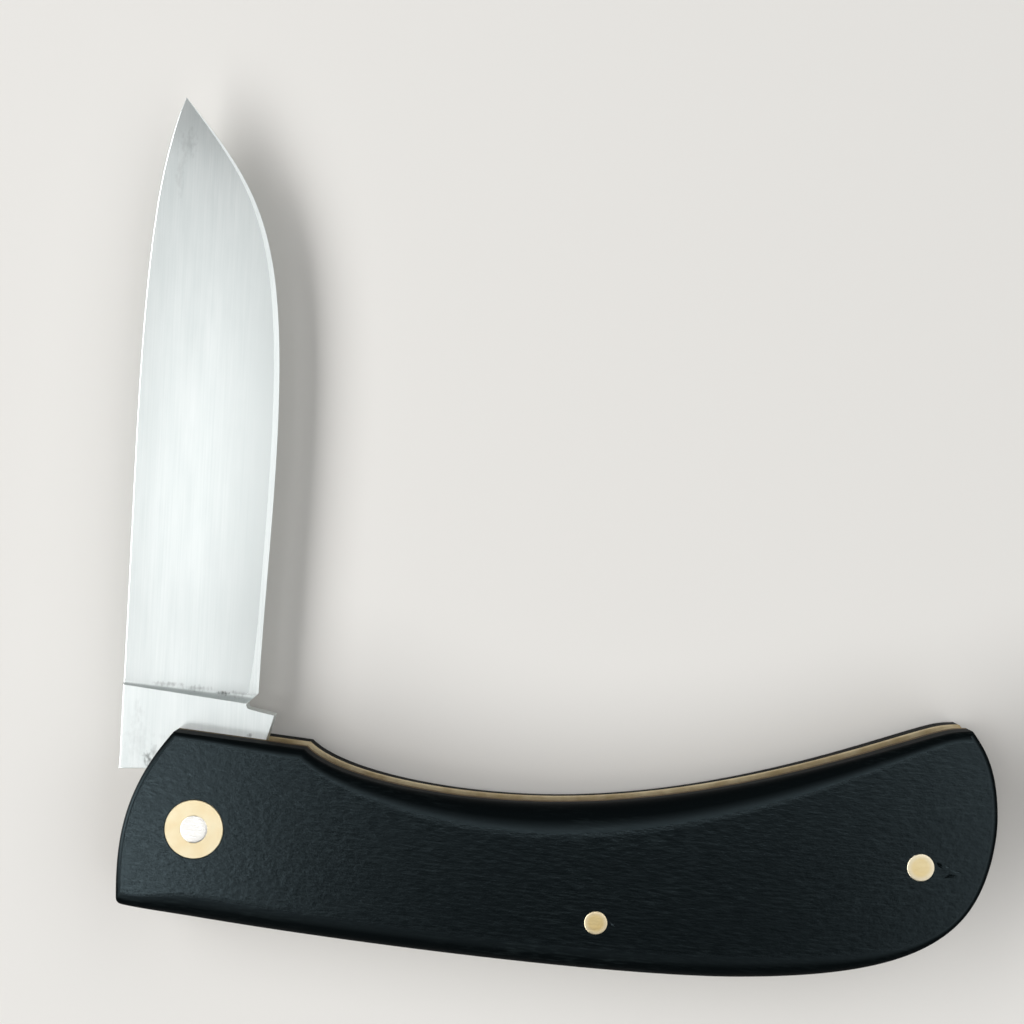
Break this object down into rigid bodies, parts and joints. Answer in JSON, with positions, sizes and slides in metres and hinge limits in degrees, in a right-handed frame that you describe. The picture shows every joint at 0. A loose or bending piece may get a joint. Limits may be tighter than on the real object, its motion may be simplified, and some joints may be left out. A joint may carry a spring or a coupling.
{
  "type": "folding pocket knife",
  "caption": "Slip-joint folding knife with one full-flat-ground blade, square tang with a half stop, back spring, brass liners and curved black wood scales.",
  "frame": {"origin": "the pivot's axis, on the plane that the knife lies on", "axes": "+Z along the pivot's axis, up from the face that the knife lies on; +X along the handle from the pivot towards the butt; +Y along the blade as it stands at its half stop"},
  "size_m": [0.1039, 0.1045, 0.012],
  "materials": {
    "black_wood": "satin, hand rubbed",
    "liner_brass": "filed and rubbed, slightly dull",
    "collar_brass": "ground flush, polished",
    "pin_brass": "ground flush, polished",
    "pivot_steel": "ground flush, bright",
    "spring_steel": "satin",
    "blade_steel": "satin, rubbed lengthwise"
  },
  "bodies": {
    "handle": {"lower_scale": "black_wood", "lower_liner": "liner_brass", "back_spring": "spring_steel", "upper_liner": "liner_brass", "upper_scale": "black_wood", "lower_collar": "collar_brass", "upper_collar": "collar_brass", "pivot_pin": "pivot_steel", "spring_pin": "pin_brass", "butt_pin": "pin_brass"},
    "blade": {"blade": "blade_steel"}
  },
  "joints": [
    {"name": "blade_hinge", "type": "hinge", "parent": "handle", "child": "blade", "pos_m": [0, 0, 0.006], "axis": [0, 0, 1], "range_deg": [-87, 90], "deforming": ["back_spring"]}
  ]
}
